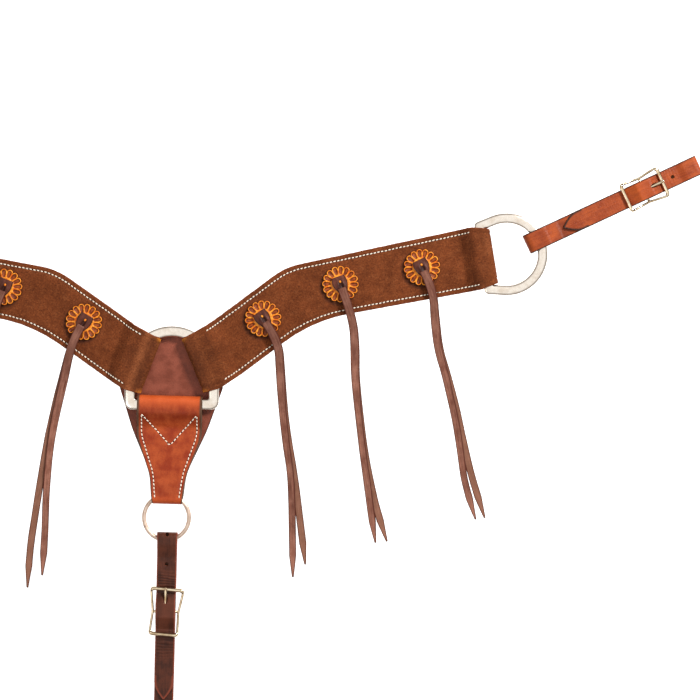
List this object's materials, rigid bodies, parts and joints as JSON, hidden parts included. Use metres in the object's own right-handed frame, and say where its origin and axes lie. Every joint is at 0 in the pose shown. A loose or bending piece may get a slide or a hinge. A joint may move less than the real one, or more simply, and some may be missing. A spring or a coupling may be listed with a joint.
{
  "type": "western breast collar",
  "caption": "Western breast collar with two roughout wings, ring centre, buckled tugs, rosettes with leather strings and a snap tie-down",
  "frame": {"origin": "on the back of the shield, under the middle of the centre ring", "axes": "+X to the right wing, +Y towards the top of the collar, +Z out of its face; it lies face up"},
  "size_m": [1.1809, 0.8686, 0.0173],
  "materials": {
    "roughout_leather": "matte suede",
    "lining_leather": "smooth",
    "russet_leather": "satin",
    "chocolate_leather": "satin",
    "rosette_leather": "tooled, antiqued",
    "string_leather": "soft satin",
    "thread": "waxed thread",
    "nickel": "polished"
  },
  "bodies": {
    "center": {"center_shield": "chocolate_leather", "center_tab": "russet_leather", "tab_stitching": "thread"},
    "center_ring": {"centre_ring": "nickel", "right_wing_loop": "roughout_leather", "left_wing_loop": "roughout_leather"},
    "small_ring": {"small_ring": "nickel"},
    "tie_down": {"tie_down_strap": "chocolate_leather", "tie_down_buckle": "nickel"},
    "tie_down_tongue": {"tie_down_tongue": "nickel"},
    "snap_eye": {"snap_eye": "nickel"},
    "snap_body": {"snap_body": "nickel"},
    "snap_bolt": {"snap_bolt": "nickel"},
    "right_wing": {"right_wing_front": "roughout_leather", "right_wing_lining": "lining_leather", "right_wing_stitching": "thread", "right_rosette_1": "rosette_leather", "right_string_knot_1": "string_leather", "right_string_front_1": "string_leather", "right_string_back_1": "string_leather", "right_rosette_2": "rosette_leather", "right_string_knot_2": "string_leather", "right_string_front_2": "string_leather", "right_string_back_2": "string_leather", "right_rosette_3": "rosette_leather", "right_string_knot_3": "string_leather", "right_string_front_3": "string_leather", "right_string_back_3": "string_leather"},
    "right_d_ring": {"right_d_ring": "nickel"},
    "right_tug": {"right_tug_strap": "russet_leather", "right_tug_buckle": "nickel"},
    "right_tug_tongue": {"right_tug_tongue": "nickel"},
    "left_wing": {"left_wing_front": "roughout_leather", "left_wing_lining": "lining_leather", "left_wing_stitching": "thread", "left_rosette_1": "rosette_leather", "left_string_knot_1": "string_leather", "left_string_front_1": "string_leather", "left_string_back_1": "string_leather", "left_rosette_2": "rosette_leather", "left_string_knot_2": "string_leather", "left_string_front_2": "string_leather", "left_string_back_2": "string_leather", "left_rosette_3": "rosette_leather", "left_string_knot_3": "string_leather", "left_string_front_3": "string_leather", "left_string_back_3": "string_leather"},
    "left_d_ring": {"left_d_ring": "nickel"},
    "left_tug": {"left_tug_strap": "russet_leather", "left_tug_buckle": "nickel"},
    "left_tug_tongue": {"left_tug_tongue": "nickel"}
  },
  "joints": [
    {"name": "center_ring_tilt", "type": "hinge", "parent": "center", "child": "center_ring", "pos_m": [0, -0.0402, 0.0101], "axis": [1, 0, 0], "range_deg": [0, 30]},
    {"name": "right_wing_bend", "type": "hinge", "parent": "center_ring", "child": "right_wing", "pos_m": [0.06872, 0.02248, 0.0024], "axis": [0.377, -0.9262, 0], "range_deg": [-45, 45]},
    {"name": "right_d_ring_tilt", "type": "hinge", "parent": "right_wing", "child": "right_d_ring", "pos_m": [0.34556, 0.12195, 0.0077], "axis": [0.1582, -0.9874, 0], "range_deg": [-25, 25]},
    {"name": "right_tug_swing", "type": "hinge", "parent": "right_d_ring", "child": "right_tug", "pos_m": [0.40582, 0.14251, 0.0077], "axis": [0.4226, -0.9063, 0], "range_deg": [-30, 30]},
    {"name": "right_tongue_lift", "type": "hinge", "parent": "right_tug", "child": "right_tug_tongue", "pos_m": [0.52246, 0.1969, 0.0071], "axis": [0.4226, -0.9063, 0], "range_deg": [0, 5]},
    {"name": "left_wing_bend", "type": "hinge", "parent": "center_ring", "child": "left_wing", "pos_m": [-0.06929, 0.02103, 0.0024], "axis": [0.3576, 0.9339, 0], "range_deg": [-45, 45]},
    {"name": "left_d_ring_tilt", "type": "hinge", "parent": "left_wing", "child": "left_d_ring", "pos_m": [-0.34816, 0.11469, 0.0077], "axis": [0.1374, 0.9905, 0], "range_deg": [-25, 25]},
    {"name": "left_tug_swing", "type": "hinge", "parent": "left_d_ring", "child": "left_tug", "pos_m": [-0.40883, 0.13398, 0.0077], "axis": [0.4035, 0.915, 0], "range_deg": [-30, 30]},
    {"name": "left_tongue_lift", "type": "hinge", "parent": "left_tug", "child": "left_tug_tongue", "pos_m": [-0.52658, 0.18591, 0.0071], "axis": [0.4035, 0.915, 0], "range_deg": [0, 5]},
    {"name": "small_ring_tilt", "type": "hinge", "parent": "center", "child": "small_ring", "pos_m": [-0.00543, -0.14305, 0.0063], "axis": [-0.9995, 0.0314, 0], "range_deg": [-30, 30]},
    {"name": "tie_down_swing", "type": "hinge", "parent": "small_ring", "child": "tie_down", "pos_m": [-0.00521, -0.18858, 0.0063], "axis": [-0.9997, 0.0244, 0], "range_deg": [-30, 30]},
    {"name": "tie_down_tongue_lift", "type": "hinge", "parent": "tie_down", "child": "tie_down_tongue", "pos_m": [-0.00717, -0.26855, 0.0071], "axis": [0.9997, -0.0244, 0], "range_deg": [0, 5]},
    {"name": "snap_eye_tilt", "type": "hinge", "parent": "tie_down", "child": "snap_eye", "pos_m": [-0.01372, -0.53667, 0.0049], "axis": [-0.9997, 0.0244, 0], "range_deg": [-45, 45]},
    {"name": "snap_swivel", "type": "hinge", "parent": "snap_eye", "child": "snap_body", "pos_m": [-0.01436, -0.56267, 0.0049], "axis": [-0.0244, -0.9997, 0], "continuous": true},
    {"name": "snap_bolt_slide", "type": "slide", "parent": "snap_body", "child": "snap_bolt", "axis": [0.0244, 0.9997, 0], "range_m": [0, 0.0085], "stiffness_N_per_m": 400, "springref_m": -0.004}
  ]
}
